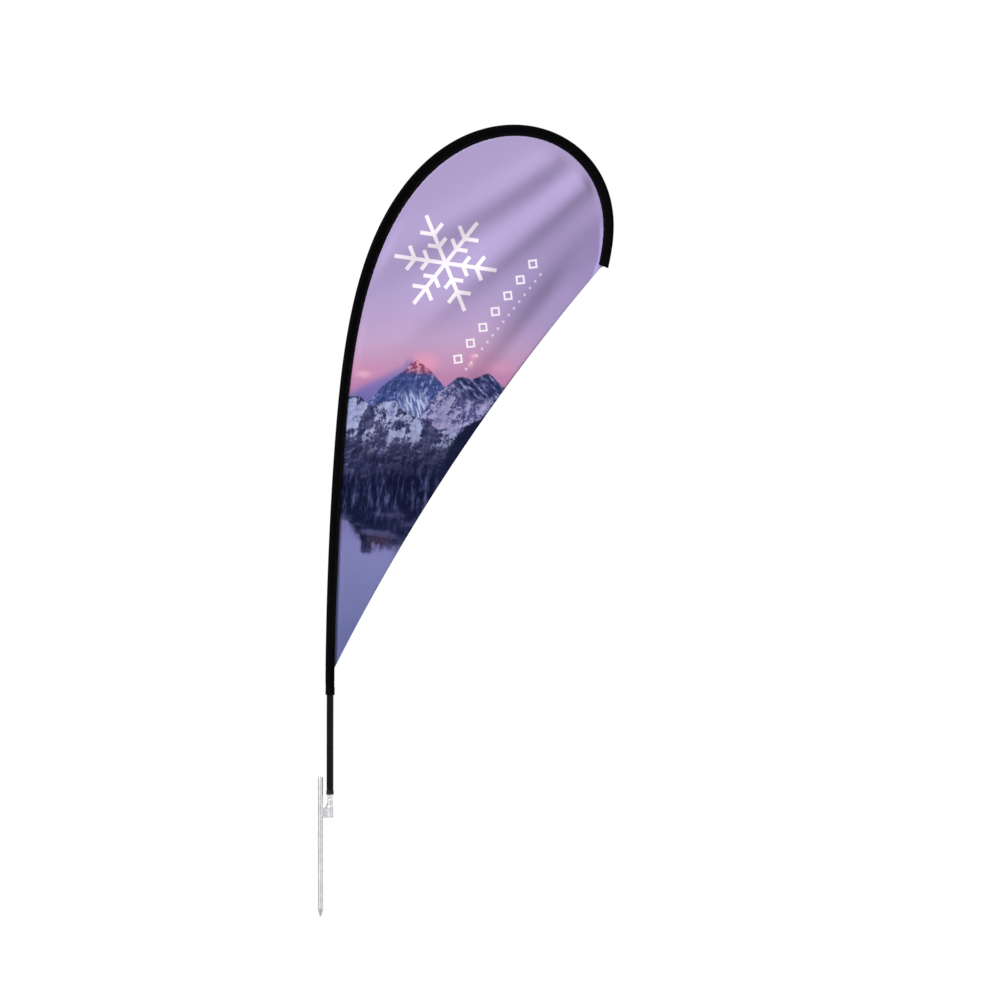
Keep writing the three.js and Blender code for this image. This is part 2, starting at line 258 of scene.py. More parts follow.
def add_piece(name, vertices, faces, body, material, slot, replaces=(), sharp=35, cloth_uv=None):
    mesh = bpy.data.meshes.new(name)
    mesh.from_pydata([tuple(v) for v in vertices], [], faces)
    if cloth_uv is not None:
        place = mesh.attributes.new("cloth_uv", "FLOAT_VECTOR", "POINT")
        place.data.foreach_set("vector", np.asarray(cloth_uv, np.float32).ravel())
    bm = bmesh.new()
    bm.from_mesh(mesh)
    bmesh.ops.remove_doubles(bm, verts=bm.verts, dist=0.01 * MM)
    bmesh.ops.recalc_face_normals(bm, faces=bm.faces)
    for face in bm.faces:
        face.smooth = True
    for edge in bm.edges:
        edge.smooth = len(edge.link_faces) != 2 or edge.calc_face_angle(0) < math.radians(sharp)
    bm.to_mesh(mesh)
    bm.free()
    piece = placed(name, mesh)
    mesh.materials.append(material)
    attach(piece, body)
    if replaces:
        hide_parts(*replaces)
    return piece


def grid_faces(rows, columns, wrap_rows=False, wrap_columns=False, first=0):
    faces = []
    for r in range(rows if wrap_rows else rows - 1):
        for c in range(columns if wrap_columns else columns - 1):
            a, b = r * columns + c, r * columns + (c + 1) % columns
            d = ((r + 1) % rows) * columns + c
            e = ((r + 1) % rows) * columns + (c + 1) % columns
            faces.append((first + a, first + b, first + e, first + d))
    return faces


def turned(profile, centre_x, segments):
    """Vertices and faces of a profile of (radius, z) in metres turned about a vertical axis.
    A profile closes on itself, or starts and ends on the axis."""
    on_axis = profile[0][0] == 0
    rings = profile[1:-1] if on_axis else profile
    a = np.arange(segments) * 2 * math.pi / segments
    vertices = [(centre_x + r * math.cos(t), r * math.sin(t), z) for r, z in rings for t in a]
    faces = grid_faces(len(rings), segments, wrap_rows=not on_axis, wrap_columns=True)
    if on_axis:
        for end, ring in ((profile[0], 0), (profile[-1], len(rings) - 1)):
            vertices.append((centre_x, 0, end[1]))
            base = ring * segments
            for i in range(segments):
                faces.append((len(vertices) - 1, base + i, base + (i + 1) % segments))
    return vertices, faces


def along_pole(profile, segments):
    """As turned, but about the pole line: profile of (radius, s), closed on itself or on the axis."""
    vertices, faces = turned(profile, 0, segments)
    v = np.array(vertices)
    return POLE.place(v[:, 2], v[:, 0], v[:, 1]), faces


def in_mm(profile):
    return [(r * MM, z * MM) for r, z in profile]


def rounded(points, radius):
    """Rounds a profile's corners, apart from its two ends, with small arcs."""
    out = []
    for i, p in enumerate(points):
        if i in (0, len(points) - 1):
            out.append(p)
            continue
        p0, p1, p2 = (np.array(q, float) for q in (points[i - 1], p, points[i + 1]))
        l0, l2 = np.linalg.norm(p0 - p1), np.linalg.norm(p2 - p1)
        cut = min(radius, l0 * 0.45, l2 * 0.45)
        a, b = p1 + (p0 - p1) / l0 * cut, p1 + (p2 - p1) / l2 * cut
        for t in np.linspace(0, 1, 5):
            out.append(tuple((1 - t) ** 2 * a + 2 * t * (1 - t) * p1 + t * t * b))
    return out


def distance_along(path):
    steps = np.linalg.norm(np.diff(path, axis=0), axis=1)
    return np.concatenate([[0], np.cumsum(steps)])


def resampled(rows, run, at):
    """Rows of three numbers, known at the distances in run, read off at other distances."""
    return np.stack([np.interp(at, run, rows[:, k]) for k in range(3)], axis=1)


def unit(rows):
    return rows / np.linalg.norm(rows, axis=-1, keepdims=True)


def closed_tube(line, out, side, radii, lifts, sides, first=0):
    """Vertices and faces of a tube round a line of points, each ring lifted along out, its ends closed."""
    vertices = [
        p + n * (up + r * math.cos(a)) + across * r * math.sin(a)
        for p, n, across, r, up in zip(line, out, side, radii, lifts)
        for a in np.arange(sides) * 2 * math.pi / sides
    ]
    last = first + len(vertices)
    ends = [tuple(range(first, first + sides)), tuple(reversed(range(last - sides, last)))]
    return vertices, grid_faces(len(line), sides, wrap_columns=True, first=first) + ends


def round_the_axis(turn):
    """Outward directions about the vertical, one for each angle."""
    return np.stack([np.cos(turn), np.sin(turn), 0 * turn], axis=1)


# a stitch's height and thickness along its length, in radii of the thread
STITCH_LIFT = np.array([-0.55, 0.25, 0.55, 0.25, -0.55])
STITCH_THICKNESS = np.array([0.35, 0.9, 1.0, 0.9, 0.35])
STITCH_SIDES = 4


def stitches(name, path, normals, pitch, length, radius, material, slot):
    """Separate stitches along a path of points, each a small arch that dips in at both ends.
    Pitch, length and the thread's radius are in mm."""
    run = distance_along(path)
    thick = radius * MM
    vertices, faces = [], []
    for i in range(int(run[-1] / (pitch * MM))):
        at = (i + 0.5) * pitch * MM + np.linspace(-0.5, 0.5, len(STITCH_LIFT)) * length * MM
        line = resampled(path, run, at)
        out = unit(resampled(normals, run, at))
        side = np.tile(unit(np.cross(line[-1] - line[0], out[2])), (len(line), 1))
        radii, lifts = STITCH_THICKNESS * thick, STITCH_LIFT * thick
        more, more_faces = closed_tube(line, out, side, radii, lifts, STITCH_SIDES, len(vertices))
        vertices += more
        faces += more_faces
    return add_piece(name, vertices, faces, FLAG_BODY, material, slot, sharp=80)


# ---- material graphs ----
def operator(operation, swapped=False):
    def apply(self, other):
        values = (other, self) if swapped else (self, other)
        return self.graph.math(operation, *values)
    return apply


class Number:
    """A number in a material's graph, which takes ordinary arithmetic."""

    __add__, __radd__ = operator("ADD"), operator("ADD", True)
    __sub__, __rsub__ = operator("SUBTRACT"), operator("SUBTRACT", True)
    __mul__, __rmul__ = operator("MULTIPLY"), operator("MULTIPLY", True)
    __truediv__ = operator("DIVIDE")

    def __init__(self, graph, socket):
        self.graph = graph
        self.socket = socket


class Room:
    """A node tree whose steps are methods that return its numbers."""

    def __init__(self, tree):
        self.tree = tree

    def node(self, kind, inputs=(), **settings):
        node = self.tree.nodes.new("ShaderNode" + kind)
        for key, value in settings.items():
            setattr(node, key, value)
        for key, value in dict(inputs).items():
            self.feed(node.inputs[key], value)
        return node

    def feed(self, socket, value):
        value = getattr(value, "socket", value)
        if isinstance(value, bpy.types.NodeSocket):
            self.tree.links.new(value, socket)
        else:
            socket.default_value = value

    def parts(self, vector):
        split = self.node("SeparateXYZ", {"Vector": vector})
        return [Number(self, output) for output in split.outputs]

    def math(self, operation, *values):
        node = self.node("Math", operation=operation)
        for socket, value in zip(node.inputs, values):
            self.feed(socket, value)
        return Number(self, node.outputs[0])

    def clamp(self, value):
        return self.math("MINIMUM", self.math("MAXIMUM", value, 0), 1)

    def lerp(self, low, high, factor):
        return (high - low) * factor + low

    def step(self, value, low, high):
        """0 below low and 1 above high, or the other way round if low is the higher, smooth between."""
        rising = low < high
        ends = {"From Min": min(low, high), "From Max": max(low, high)}
        ends.update({"To Min": 0 if rising else 1, "To Max": 1 if rising else 0})
        node = self.node("MapRange", {"Value": value, **ends}, interpolation_type="SMOOTHSTEP")
        return Number(self, node.outputs["Result"])


class Graph(Room):
    """One procedural material, whose steps are methods that return its numbers and colours."""

    def __init__(self, name):
        self.material = bpy.data.materials.new(name)
        self.material.use_nodes = True
        super().__init__(self.material.node_tree)
        self.shader = self.tree.nodes["Principled BSDF"]
        self.x, self.y, self.z = self.parts(self.node("TexCoord").outputs["Object"])

    def noise(self, x, y, detail=3, rough=0.55):
        place = self.node("CombineXYZ", {"X": x, "Y": y})
        settings = {"Vector": place.outputs[0], "Scale": 1, "Detail": detail, "Roughness": rough}
        return Number(self, self.node("TexNoise", settings, noise_dimensions="2D").outputs[0])

    def noise_3d(self, scale, detail=3, rough=0.55):
        place = self.node("CombineXYZ", {"X": self.x, "Y": self.y, "Z": self.z})
        settings = {"Vector": place.outputs[0], "Scale": scale, "Detail": detail, "Roughness": rough}
        return Number(self, self.node("TexNoise", settings).outputs[0])

    def bands(self, value, stops):
        """A colour that changes along the value, from stops of (value, display colour)."""
        low, high = stops[0][0], stops[-1][0]
        node = self.node("ValToRGB", {"Fac": (value - low) / (high - low)})
        ramp = node.color_ramp
        for i, (at, colour) in enumerate(stops):
            place = (at - low) / (high - low)
            stop = ramp.elements[i] if i < 2 else ramp.elements.new(place)
            stop.position, stop.color = place, srgb(*colour)
        return node.outputs["Color"]

    def profile(self, value, points, smooth=False):
        """The height of an outline at the value, from its few points."""
        xs, zs = zip(*points)
        low, size = min(zs), max(zs) - min(zs)
        place = self.clamp((value - xs[0]) / (xs[-1] - xs[0]))
        node = self.node("FloatCurve", {"Value": place})
        curve = node.mapping.curves[0]
        scaled = [((px - xs[0]) / (xs[-1] - xs[0]), (pz - low) / size) for px, pz in points]
        curve.points[0].location, curve.points[1].location = scaled[0], scaled[-1]
        for px, pz in scaled[1:-1]:
            curve.points.new(px, pz)
        for point in curve.points:
            point.handle_type = "AUTO" if smooth else "VECTOR"
        node.mapping.update()
        return Number(self, node.outputs[0]) * size + low

    def patch(self, x, z, at, size):
        """A soft oval: 1 in its middle and 0 outside."""
        u, v = (x - at[0]) / size[0], (z - at[1]) / size[1]
        inside = self.clamp(1 - u * u - v * v)
        return inside * inside

    def mix(self, low, high, factor):
        """A blend of two colours, each a node's output or a display colour."""
        node = self.node("Mix", data_type="RGBA")
        for socket, value in zip((0, 6, 7), (factor, low, high)):
            self.feed(node.inputs[socket], srgb(*value) if isinstance(value, tuple) else value)
        return node.outputs[2]

    def bump(self, height, distance, strength):
        inputs = {"Height": height, "Distance": distance, "Strength": strength}
        self.feed(self.shader.inputs["Normal"], self.node("Bump", inputs).outputs[0])

    def finish(self, base, rough, metallic=0.0, specular=0.5, **more):
        settings = {"Base Color": base, "Roughness": rough, "Metallic": metallic}
        settings["Specular IOR Level"] = specular
        settings.update(more)
        for name, value in settings.items():
            self.feed(self.shader.inputs[name], value)
        return self.material


# ---- metals, plastics and rubber ----
def plated_steel(name, light, dark):
    """Zinc plate over drawn steel: cloudy patches, long draw lines and a few dull specks."""
    g = Graph(name)
    cloud = g.noise_3d(45, 4, 0.6)
    lines = g.noise((g.x + g.y) * 900, g.z * 14, 2, 0.6)
    specks = g.step(g.noise_3d(700, 2, 0.5), 0.66, 0.74)
    tone = g.clamp(cloud * 0.9 + lines * 0.5 - 0.2)
    base = g.mix(g.mix(dark, light, tone), (150, 150, 148), specks * 0.5)
    g.bump(lines * 0.5 + cloud * 0.5, 0.25 * MM, 0.35)
    return g.finish(base, 0.33 + 0.14 * cloud + 0.12 * specks, 0.94)


def turned_steel(name):
    """Bright turned steel with its fine lathe rings."""
    g = Graph(name)
    rings = g.noise(g.z * 5200, g.z * 300, 2, 0.6)
    cloud = g.noise_3d(60, 3)
    base = g.mix((196, 197, 199), (236, 237, 238), g.clamp(rings * 0.5 + cloud * 0.6))
    g.bump(rings, 0.05 * MM, 0.5)
    return g.finish(base, 0.24 + 0.12 * cloud, 0.85, Anisotropic=0.4)


def dark_plastic(name, low, high, rough, grain):
    """Moulded plastic or rubber: a fine grained skin, a little lighter where it is handled."""
    g = Graph(name)
    fine = g.noise_3d(900, 3, 0.6)
    cloud = g.noise_3d(30, 3)
    base = g.mix(low, high, g.clamp(fine * 0.5 + cloud * 0.5))
    g.bump(fine, grain, 0.5)
    return g.finish(base, rough + 0.12 * (cloud - 0.5), 0.0, 0.2)


def pole_tube(name):
    """Black composite tube: long fibre lines under a satin coat, with light scuffs round it."""
    g = Graph(name)
    fibres = g.noise((g.x * 1.3 + g.y) * 2600, g.z * 6, 2, 0.6)
    scuffs = g.step(g.noise(g.x * 60, g.z * 260, 3, 0.7), 0.60, 0.72)
    base = g.mix((2, 2, 3), (11, 11, 13), g.clamp(fibres * 0.8 + scuffs * 0.35 - 0.1))
    g.bump(fibres, 0.03 * MM, 0.4)
    return g.finish(base, 0.24 + 0.08 * fibres + 0.12 * scuffs, 0.0, 0.12)


def nylon(name):
    g = Graph(name)
    cloud = g.noise_3d(120, 3)
    base = g.mix((222, 220, 212), (240, 238, 232), cloud)
    g.bump(g.noise_3d(1500, 2), 0.05 * MM, 0.4)
    return g.finish(base, 0.42 + 0.1 * cloud, 0.0, 0.4)


def alloy(name, low, high):
    g = Graph(name)
    rings = g.noise(g.z * 4000, g.z * 200, 2, 0.6)
    base = g.mix(low, high, rings)
    g.bump(rings, 0.04 * MM, 0.4)
    return g.finish(base, 0.32 + 0.1 * rings, 0.9)


# ---- cloths ----
def weave(g, u, v, pitch):
    """Height of a plain weave, 0 to 1, over two directions of the cloth in metres."""
    turn = 2 * math.pi / pitch
    over = g.math("SINE", u * turn) * g.math("SINE", v * turn)
    return g.clamp(over * 0.5 + 0.5)


def sleeve_cloth(name, low, high, pitch=1.1 * MM):
    """Dense black woven tube cloth. Its own directions are in the cloth_uv attribute."""
    g = Graph(name)
    u, v, _ = g.parts(g.node("Attribute", attribute_name="cloth_uv").outputs["Vector"])
    threads = weave(g, u, v, pitch)
    rub = g.noise(u * 9, v * 40, 4, 0.6)
    base = g.mix(low, high, g.clamp(threads * 0.45 + rub * 0.6 - 0.15))
    g.bump(threads * 0.6 + g.noise(u * 300, v * 300, 2) * 0.4, 0.18 * MM, 0.5)
    return g.finish(base, 0.78 + 0.1 * rub, 0.0, 0.03)


def thread(name, low, high):
    g = Graph(name)
    twist = g.noise((g.x + g.y + g.z) * 2400, (g.x - g.z) * 900, 2)
    base = g.mix(low, high, twist)
    g.bump(twist, 0.08 * MM, 0.5)
    return g.finish(base, 0.6, 0.0, 0.3)


# ---- the printed picture, over the panel's x and z ----
SKY = (
    (1.34, (170, 122, 172)), (1.40, (190, 134, 176)), (1.44, (197, 146, 184)), (1.48, (199, 157, 194)),
    (1.53, (196, 165, 204)), (1.60, (187, 163, 206)), (1.70, (179, 161, 206)), (2.15, (178, 161, 206)),
)
LAKE = (
    (0.40, (104, 109, 158)), (0.60, (108, 113, 164)), (0.70, (118, 121, 172)), (0.80, (125, 127, 178)),
    (0.88, (128, 127, 182)), (0.98, (112, 110, 160)),
)
FAR_HAZE = (
    (0.06, 1.335), (0.12, 1.372), (0.20, 1.412), (0.262, 1.445),
    (0.292, 1.466), (0.33, 1.38), (0.70, 1.36),
)
MAIN_PEAK = (
    (0.06, 1.30), (0.155, 1.332), (0.198, 1.382), (0.227, 1.403), (0.277, 1.438), (0.290, 1.456),
    (0.307, 1.466), (0.322, 1.455), (0.341, 1.441), (0.358, 1.426), (0.380, 1.398), (0.400, 1.376),
    (0.70, 1.340),
)
SECOND_PEAK = (
    (0.06, 1.10), (0.250, 1.20), (0.330, 1.300), (0.356, 1.338), (0.385, 1.366), (0.410, 1.386),
    (0.433, 1.405), (0.452, 1.413), (0.478, 1.404), (0.510, 1.412), (0.536, 1.424), (0.553, 1.410),
    (0.582, 1.380), (0.70, 1.320),
)
NEAR_RIDGE = (
    (0.06, 1.345), (0.100, 1.350), (0.128, 1.349), (0.146, 1.330), (0.165, 1.318), (0.185, 1.330),
    (0.212, 1.332), (0.240, 1.334), (0.256, 1.310), (0.300, 1.285), (0.345, 1.270), (0.375, 1.240),
    (0.70, 1.200),
)
SHORE = (
    (0.04, 0.975), (0.069, 0.958), (0.101, 0.918), (0.128, 0.876),
    (0.142, 0.850), (0.174, 0.860), (0.30, 0.850),
)
# the couloir and the dark slope's edge, as z and x
COULOIR = ((1.31, 0.352), (1.34, 0.338), (1.36, 0.334), (1.39, 0.352), (1.42, 0.362))
DARK_SLOPE = ((1.05, 0.350), (1.14, 0.392), (1.20, 0.420), (1.25, 0.458), (1.285, 0.53))
# painted shade of the folds on the right of the panel, and the print's evening glow and small bright clouds:
# place, size and amount
PAINTED_FOLD_SHADE = (((0.92, 1.78), (0.46, 0.36), 0.75), ((0.71, 1.56), (0.20, 0.20), 0.45))
GLOW = (
    ((0.334, 1.458), (0.070, 0.048), 0.75), ((0.150, 1.430), (0.110, 0.050), 0.12),
    ((0.492, 1.474), (0.024, 0.022), 0.65), ((0.482, 1.450), (0.020, 0.017), 0.60),
    ((0.560, 1.440), (0.080, 0.036), 0.30),
)
CLOUDS = (
    ((0.491, 1.476), (0.014, 0.010), 0.75), ((0.479, 1.449), (0.012, 0.009), 0.75),
    ((0.137, 1.419), (0.036, 0.018), 0.50),
)
# more snow or bare rock on the near slopes, and on the second peak: place, size, how much snow
NEAR_SNOW = (
    ((0.112, 1.305), (0.042, 0.055), 0.42), ((0.086, 1.245), (0.030, 0.040), 0.35),
    ((0.150, 1.275), (0.026, 0.055), -0.95), ((0.215, 1.305), (0.050, 0.036), 0.55),
    ((0.206, 1.292), (0.014, 0.024), -0.55), ((0.248, 1.232), (0.034, 0.022), 0.50),
    ((0.306, 1.232), (0.028, 0.056), 1.10), ((0.352, 1.225), (0.032, 0.042), -0.80),
)
PEAK_SNOW = (
    ((0.400, 1.300), (0.075, 0.085), 0.35), ((0.425, 1.240), (0.050, 0.045), 0.40),
    ((0.535, 1.310), (0.050, 0.040), 0.50), ((0.450, 1.330), (0.022, 0.060), -0.45),
)
CRAG = ((0.30, (14, 18, 52)), (0.48, (34, 42, 86)), (0.57, (84, 92, 142)), (0.68, (170, 174, 214)))
CLIFF = ((0.34, (2, 6, 34)), (0.47, (12, 18, 50)), (0.56, (48, 54, 92)), (0.68, (92, 96, 138)))


def with_patches(g, x, z, amount, patches):
    for at, size, more in patches:
        amount = amount + g.patch(x, z, at, size) * more
    return amount


def rock_and_snow(g, x, z, amount, snow, shade, lit, dark, scale):
    """Broken ground lit from the upper left: snow where the amount and the noise allow, rock elsewhere."""
    wild_x = x + 0.012 * (g.noise(x * 30, z * 30, 3) - 0.5)
    height = g.noise(wild_x * scale, z * scale * 0.8, 4, 0.58)
    beside = g.noise(wild_x * scale + 0.16, z * scale * 0.8 - 0.19, 4, 0.58)
    fine = g.noise(x * scale * 5, z * scale * 4, 3, 0.65)
    relief = g.clamp((height - beside) * 3.2 + (fine - 0.5) * 0.9 + 0.5)
    masses = g.noise(wild_x * scale * 0.35, z * scale * 0.30, 2) - 0.5
    broken = (height - 0.5) * 1.2 + (fine - 0.5) * 0.6 + (relief - 0.5) * 0.4 + masses * 0.9
    cover = g.step(amount + broken, 0.32, 0.66)
    snow_tone = g.mix(shade, snow, relief)
    rock_tone = g.mix(dark, lit, g.clamp(relief + masses * 0.8))
    return g.mix(rock_tone, snow_tone, cover)


def picture(g):
    x, z = g.x, g.z
    jag = (g.noise(x * 70, z * 70, 5, 0.65) - 0.5) * 0.030
    drift = g.noise(x * 5, z * 14, 4, 0.6)
    colour = g.bands(z + (drift - 0.5) * 0.05, SKY)
    # painted shade: the folds' shade on the right of the panel, mixed into the print's colour
    for at, size, amount in PAINTED_FOLD_SHADE:
        colour = g.mix(colour, (150, 134, 182), g.patch(x, z, at, size) * amount)
    for at, size, amount in GLOW:
        lit = g.patch(x, z, at, size) * amount * (0.6 + 0.8 * drift)
        colour = g.mix(colour, (236, 160, 188), g.clamp(lit))
    for at, size, amount in CLOUDS:
        lit = g.patch(x + jag * 0.5, z + jag * 0.5, at, size) * amount
        colour = g.mix(colour, (246, 196, 216), lit)

    def under(outline, ragged, high):
        return g.step(g.profile(x, outline) + jag * ragged - z, -0.002, high)

    # haze on the far slope
    far = g.step(g.profile(x, FAR_HAZE, True) + jag * 0.4 - z, -0.018, 0.022)
    haze = g.bands(z, ((1.33, (96, 102, 168)), (1.40, (112, 112, 182)), (1.47, (142, 124, 186))))
    colour = g.mix(colour, haze, far * 0.85)
    # main peak: blue rock with streaks, red light on its top, a couloir of snow, blue-white ice at its foot
    streak = g.noise(x * 95 + z * 28, z * 24 - x * 12, 4, 0.6)
    amount = 0.16 + 0.45 * (streak - 0.5)
    rock = rock_and_snow(g, x, z, amount, (140, 148, 200), (100, 110, 170), (80, 92, 152), (44, 56, 108), 38)
    furrows = g.step(g.noise(x * 130 + z * 40, z * 26, 3, 0.55), 0.40, 0.64)
    ice = g.mix((84, 96, 150), (184, 192, 230), furrows)
    foot = g.clamp(g.patch(x, z, (0.297, 1.305), (0.070, 0.080)) * 1.8)
    rock = g.mix(rock, ice, foot)
    bend = g.profile(z, COULOIR)
    couloir = g.math("ABSOLUTE", x - bend + jag * 0.25)
    broken = g.step(g.noise(x * 60, z * 90, 3), 0.40, 0.56)
    inside = g.step(couloir, 0.0055, 0.0) * g.step(z, 1.425, 1.405) * broken
    rock = g.mix(rock, (172, 160, 204), inside * 0.8)
    sunlit = g.step(z + jag * 0.6 + (x - 0.31) * 0.1, 1.412, 1.440)
    red = g.mix((144, 66, 104), (240, 158, 172), g.step(g.noise(x * 75, z * 110, 4, 0.6), 0.44, 0.62))
    rock = g.mix(rock, red, sunlit * 0.85)
    colour = g.mix(colour, rock, under(MAIN_PEAK, 0.35, 0.004))
    # second peak, with its long snow slope
    steep = g.noise(x * 70 + z * 64, z * 26 - x * 20, 4, 0.6)
    upper = g.step(x, 0.405, 0.455) * g.step(z + (x - 0.5) * 0.2, 1.315, 1.355)
    amount = 0.40 + 0.5 * (steep - 0.5) - upper * 0.34
    amount = with_patches(g, x, z, amount, PEAK_SNOW)
    slope = rock_and_snow(g, x, z, amount, (168, 164, 206), (126, 122, 172), (102, 100, 150), (62, 66, 116), 42)
    slope = g.mix(slope, g.bands(steep, CRAG), upper * 0.8)
    colour = g.mix(colour, slope, under(SECOND_PEAK, 0.35, 0.004))
    # near slopes: snow above, dark cliffs below
    amount = g.profile(z, ((1.08, 0.0), (1.20, 0.28), (1.30, 0.45), (1.36, 0.55)), True)
    amount = with_patches(g, x, z, amount, NEAR_SNOW + PEAK_SNOW)
    deep = g.step(z + (drift - 0.5) * 0.04, 1.255, 1.13)
    near = rock_and_snow(g, x, z, amount, (172, 178, 216), (126, 132, 180), (92, 92, 130), (38, 43, 80), 30)
    amount = 0.24 - 0.2 * deep
    low = rock_and_snow(g, x, z, amount, (98, 102, 150), (60, 66, 108), (58, 60, 96), (12, 18, 48), 34)
    near = g.mix(near, low, deep)
    colour = g.mix(colour, near, under(NEAR_RIDGE, 0.4, 0.005))
    # cliffs that fall to the water
    fall = g.noise(x * 62 - z * 10, z * 15 + x * 10, 5, 0.6)
    broad = g.noise(x * 14, z * 9, 2)
    cliff = g.bands(fall * 0.75 + broad * 0.25, CLIFF)
    colour = g.mix(colour, cliff, g.step(z + (drift - 0.5) * 0.06, 1.15, 1.07) * 0.9)
    mist = g.noise(x * 10, z * 26, 3)
    band = g.bands(mist, ((0.3, (10, 17, 48)), (0.5, (26, 32, 64)), (0.7, (80, 80, 120))))
    colour = g.mix(colour, band, g.step(z + (drift - 0.5) * 0.04, 1.01, 0.94) * 0.8)
    colour = g.mix(colour, (84, 56, 70), g.patch(x, z, (0.185, 0.885), (0.060, 0.036)) * 0.4)
    # the dark slope by the free edge
    edge = x - g.profile(z, DARK_SLOPE)
    dark = g.mix((8, 13, 38), (28, 36, 68), g.noise(x * 30 + z * 10, z * 30, 4))
    inside = g.step(edge + jag * 0.8, -0.006, 0.010) * g.step(z, 1.04, 1.12)
    colour = g.mix(colour, dark, inside * g.step(z + jag * 0.5, 1.290, 1.276))
    # the lake and its mist
    ripple = g.noise(x * 30 - z * 14, z * 16, 3)
    water = g.bands(z + (ripple - 0.5) * 0.05, LAKE)
    ragged = (mist - 0.5) * 0.055 + (broad - 0.5) * 0.05 + (fall - 0.5) * 0.05
    return g.mix(colour, water, g.step(z - g.profile(x, SHORE, True) + ragged, 0.018, -0.020))


MARK_LEAN = math.radians(51.8)
MARK_SOFT = 0.6 * MM
FLAKE_AT, FLAKE_RADIUS, FLAKE_WIDTH = (0.400, 1.774), 0.165, 0.0125
FLAKE_BRANCHES = ((0.34, 0.22), (0.60, 0.27))    # where a pair leaves its arm, and its length, in radii
LINE_AT, LINE_COUNT, LINE_PITCH = (0.440, 1.467), 7, 0.0645
LOZENGE_SIZE, LOZENGE_STROKE = 0.040, 0.0085
FINE_AT, FINE_COUNT, FINE_PITCH, FINE_SIZE = (0.466, 1.435), 15, 0.0275, 0.011


def leaning(x, z, at):
    """Places along and across the marks' slant, from a given point."""
    c, s = math.cos(MARK_LEAN), math.sin(MARK_LEAN)
    return (x - at[0]) * c + (z - at[1]) * s, (z - at[1]) * c - (x - at[0]) * s


def within(g, value, limit):
    """1 where the value is under the limit, with a soft edge."""
    return g.step(value, limit + MARK_SOFT, limit - MARK_SOFT)


def snowflake(g, x, z):
    """A plain six-armed flake: straight arms, each with two pairs of side branches."""
    u, v = leaning(x, z, FLAKE_AT)
    length = g.math("SQRT", u * u + v * v)
    sector = math.pi / 3
    angle = g.math("MODULO", g.math("ARCTAN2", v, u) + math.pi * 2 + sector / 2, sector) - sector / 2
    a = length * g.math("COSINE", angle)
    b = g.math("ABSOLUTE", length * g.math("SINE", angle))
    c, s = math.cos(sector), math.sin(sector)
    ink = within(g, b, FLAKE_WIDTH / 2) * within(g, a, FLAKE_RADIUS)
    for start, reach in FLAKE_BRANCHES:
        run = (a - start * FLAKE_RADIUS) * c + b * s
        off = g.math("ABSOLUTE", b * c - (a - start * FLAKE_RADIUS) * s)
        branch = within(g, off, FLAKE_WIDTH / 2) * within(g, run, reach * FLAKE_RADIUS)
        ink = g.math("MAXIMUM", ink, branch * g.step(run, -MARK_SOFT, MARK_SOFT))
    return ink


def marks(g, x, z, at, count, pitch, size, stroke=0):
    """A row of small plain lozenges, hollow or, without a stroke, solid."""
    u, v = leaning(x, z, at)
    cell = g.math("ABSOLUTE", g.math("MODULO", u + pitch * 10.5, pitch) - pitch / 2)
    reach = cell + g.math("ABSOLUTE", v)
    ink = within(g, reach, size / 2)
    if stroke:
        ink = ink * (1 - within(g, reach, size / 2 - stroke))
    ends = g.step(u, -pitch / 2, -pitch / 2 + MARK_SOFT)
    return ink * ends * g.step(u, (count - 0.5) * pitch, (count - 0.5) * pitch - MARK_SOFT)


def printed_cloth(name, through):
    """Knitted polyester with the picture dyed into it; through is how much paler its back is."""
    g = Graph(name)
    colour = picture(g)
    x, z = g.x, g.z
    lozenges = marks(g, x, z, LINE_AT, LINE_COUNT, LINE_PITCH, LOZENGE_SIZE, LOZENGE_STROKE)
    fine = marks(g, x, z, FINE_AT, FINE_COUNT, FINE_PITCH, FINE_SIZE) * 0.6
    ink = g.math("MAXIMUM", g.math("MAXIMUM", snowflake(g, x, z), lozenges), fine)
    colour = g.mix(colour, (250, 243, 252), ink)
    wear = g.noise(x * 14, z * 14, 3)
    colour = g.mix(colour, (176, 170, 196), through * (0.7 + 0.6 * wear))
    knit = weave(g, x + z, x - z, 1.3 * MM)
    colour = g.mix(colour, (20, 18, 34), (1 - knit) * 0.09)
    g.bump(knit * 0.6 + g.noise(x * 420, z * 420, 2) * 0.4, 0.16 * MM, 0.5)
    return g.finish(colour, 0.62 + 0.08 * wear, 0.0, 0.04)


# ---- cloth pieces ----
def solidify(piece, thickness, offset=0.0, second=None):
    modifier = piece.modifiers.new("thickness", "SOLIDIFY")
    modifier.thickness = thickness
    modifier.offset = offset
    modifier.use_even_offset = True
    if second:
        piece.data.materials.append(second)
        modifier.material_offset = 1


def face_front(piece):
    """Turns a sheet's faces so that they look at the front (-Y)."""
    middle = len(piece.data.polygons) // 2
    if piece.data.polygons[middle].normal.y > 0:
        piece.data.flip_normals()


PANEL_ROWS, PANEL_COLUMNS = 390, 88
HEM_ROWS = 460
# the hem's section: distance in from the free edge, and height behind the panel in half thicknesses
HEM_SECTION = (
    (0.0003, 0.6), (0.0012, 1.9), (0.005, 1.4), (0.010, 1.4), (HEM_WIDTH - 0.0008, 1.5), (HEM_WIDTH, 1.05),
)


def area_of(vertices, faces):
    v, f = np.array(vertices), np.array(faces)
    first = np.cross(v[f[:, 1]] - v[f[:, 0]], v[f[:, 2]] - v[f[:, 0]])
    second = np.cross(v[f[:, 2]] - v[f[:, 0]], v[f[:, 3]] - v[f[:, 0]])
    return (np.linalg.norm(first, axis=1).sum() + np.linalg.norm(second, axis=1).sum()) / 2


